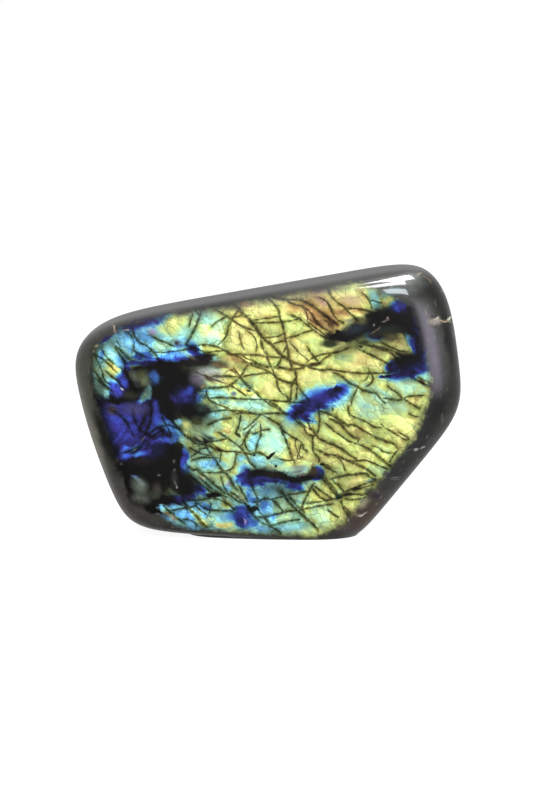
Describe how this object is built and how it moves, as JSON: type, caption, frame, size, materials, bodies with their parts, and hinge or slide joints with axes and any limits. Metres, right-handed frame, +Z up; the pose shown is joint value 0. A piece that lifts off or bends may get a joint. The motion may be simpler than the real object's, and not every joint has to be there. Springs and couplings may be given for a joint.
{
  "type": "polished labradorite stone",
  "caption": "Hand-sized polished labradorite freeform that stands on a flat cut base, dark grey stone with a cracked blue, green and gold flash across its face.",
  "frame": {"origin": "middle of the bounding box at its bottom, on the plane of the flat cut base", "axes": "+Z up, +X to the right as seen from the front face that carries the flash, -Y towards the viewer"},
  "size_m": [0.0998, 0.036, 0.0691],
  "materials": {
    "polished_labradorite": "polished"
  },
  "bodies": {
    "root": {"labradorite_stone": "polished_labradorite"}
  },
  "joints": []
}
